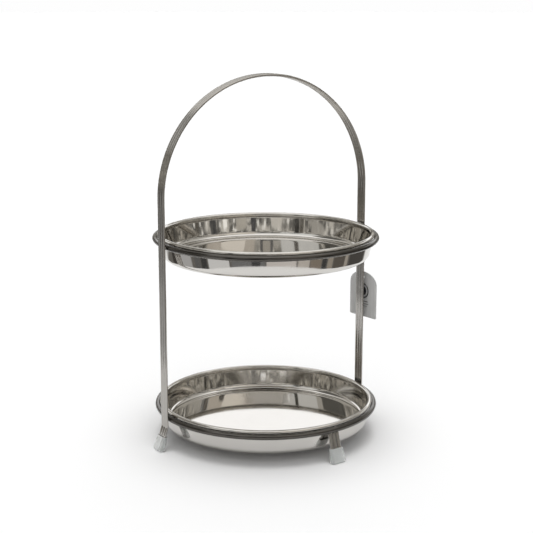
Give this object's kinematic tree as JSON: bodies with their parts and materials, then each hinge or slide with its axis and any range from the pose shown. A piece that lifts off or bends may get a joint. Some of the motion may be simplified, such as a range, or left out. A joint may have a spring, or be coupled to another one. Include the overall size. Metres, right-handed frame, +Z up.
{
  "type": "two-tier serving stand",
  "caption": "Two round polished pans on wire rings, carried by an arched three-wire handle with splayed, capped feet and a hang tag.",
  "frame": {"origin": "on the stand's vertical axis, on the surface it stands on", "axes": "+Z up; +X towards the post with the hang tag, in the plane of the arched handle; +Y towards the rear short leg"},
  "size_m": [0.2872, 0.2792, 0.419],
  "materials": {
    "polished_wire": "polished",
    "mirror_steel": "mirror polished",
    "silicone": "milky, satin",
    "tag_card": "matte printed",
    "clear_plastic": "clear, glossy"
  },
  "bodies": {
    "frame": {"arch_wire_front": "polished_wire", "arch_wire_middle": "polished_wire", "arch_wire_rear": "polished_wire", "upper_ring": "polished_wire", "lower_ring": "polished_wire", "front_leg_wire_1": "polished_wire", "front_leg_wire_2": "polished_wire", "front_leg_wire_3": "polished_wire", "rear_leg_wire_1": "polished_wire", "rear_leg_wire_2": "polished_wire", "rear_leg_wire_3": "polished_wire", "foot_cap_right_post": "silicone", "foot_cap_left_post": "silicone", "foot_cap_front_leg": "silicone", "foot_cap_rear_leg": "silicone"},
    "upper_pan": {"upper_pan": "mirror_steel"},
    "lower_pan": {"lower_pan": "mirror_steel"},
    "tag_loop": {"tag_loop": "clear_plastic", "loop_lock": "clear_plastic"},
    "hang_tag": {"hang_tag": "tag_card"}
  },
  "joints": [
    {"name": "upper_pan_lift", "type": "slide", "parent": "frame", "child": "upper_pan", "axis": [0, 0, 1], "range_m": [0, 0.075]},
    {"name": "lower_pan_lift", "type": "slide", "parent": "frame", "child": "lower_pan", "axis": [0, 0, 1], "range_m": [0, 0.1]},
    {"name": "loop_swing", "type": "hinge", "parent": "frame", "child": "tag_loop", "pos_m": [0.1291, 0, 0.2375], "axis": [0, -1, 0], "range_deg": [0, 60]},
    {"name": "tag_swing", "type": "hinge", "parent": "tag_loop", "child": "hang_tag", "pos_m": [0.1373, 0, 0.1702], "axis": [0.9877, 0.1564, 0], "range_deg": [-30, 30]}
  ]
}
